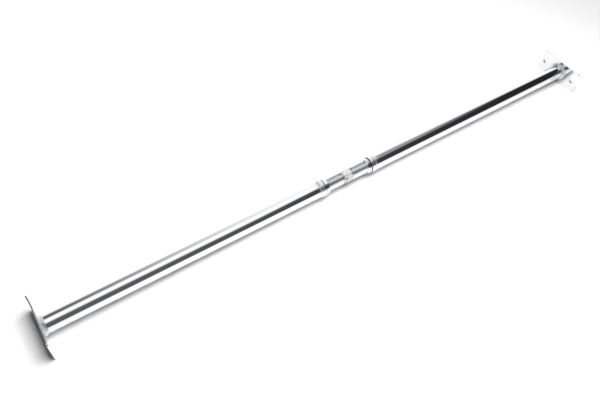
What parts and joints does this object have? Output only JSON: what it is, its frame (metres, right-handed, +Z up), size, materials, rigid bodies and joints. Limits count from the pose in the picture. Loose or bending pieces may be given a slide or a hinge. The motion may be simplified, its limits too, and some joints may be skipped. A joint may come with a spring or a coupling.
{
  "type": "pull up bar",
  "caption": "Chromed doorway pull up bar: round tubes with drilled end plates, spread by a turnbuckle with a centre hexagon, lock rings and left and right hand threads.",
  "frame": {"origin": "the middle of the bar on its own axis, half way between the end plates", "axes": "+X along the bar to the right-hand end plate, +Y along the long side of the end plates, +Z up along their short side"},
  "size_m": [1.1682, 0.1, 0.05],
  "materials": {
    "chrome": "bright chrome plating on drawn steel tube and strip",
    "chromed_weld": "chrome plating over a rippled weld bead",
    "chromed_thread": "thin chrome plating on a cut thread, slightly duller in the roots",
    "zinc_steel": "bright zinc plating, satin",
    "spring_steel": "dark oiled spring steel",
    "nylon": "natural white turned nylon"
  },
  "bodies": {
    "left_half": {"left_end_plate": "chrome", "left_plate_weld": "chromed_weld", "left_tube": "chrome", "left_threaded_bush": "chrome", "left_bush_weld": "chromed_weld"},
    "guides": {"left_guide_disc": "nylon", "right_guide_disc": "nylon"},
    "turnbuckle": {"centre_hex": "chrome", "left_threaded_stud": "chromed_thread", "right_threaded_stud": "chromed_thread", "left_hex_pin": "spring_steel", "right_hex_pin": "spring_steel", "left_guide_washer": "zinc_steel", "right_guide_washer": "zinc_steel", "left_guide_screw": "zinc_steel", "right_guide_screw": "zinc_steel"},
    "right_half": {"right_end_plate": "chrome", "right_plate_weld": "chromed_weld", "right_tube": "chrome", "right_threaded_bush": "chrome", "right_bush_weld": "chromed_weld"},
    "left_ring": {"left_lock_ring": "chrome"},
    "right_ring": {"right_lock_ring": "chrome"}
  },
  "joints": [
    {"name": "stud_advance", "type": "slide", "parent": "left_half", "child": "guides", "axis": [1, 0, 0], "range_m": [-0.0241, 0.0401]},
    {"name": "hex_turn", "type": "hinge", "parent": "guides", "child": "turnbuckle", "pos_m": [0, 0, 0], "axis": [1, 0, 0], "range_deg": [-4320, 7200]},
    {"name": "bar_extend", "type": "slide", "parent": "left_half", "child": "right_half", "axis": [1, 0, 0], "range_m": [-0.0482, 0.0802]},
    {"name": "left_ring_back_off", "type": "slide", "parent": "left_half", "child": "left_ring", "axis": [1, 0, 0], "range_m": [0, 0.008]},
    {"name": "right_ring_back_off", "type": "slide", "parent": "right_half", "child": "right_ring", "axis": [-1, 0, 0], "range_m": [0, 0.008]}
  ],
  "couplings": [
    {"joint": "stud_advance", "follows": "hex_turn", "m_per_rad": 0.00031831},
    {"joint": "bar_extend", "follows": "hex_turn", "m_per_rad": 0.00063662}
  ]
}
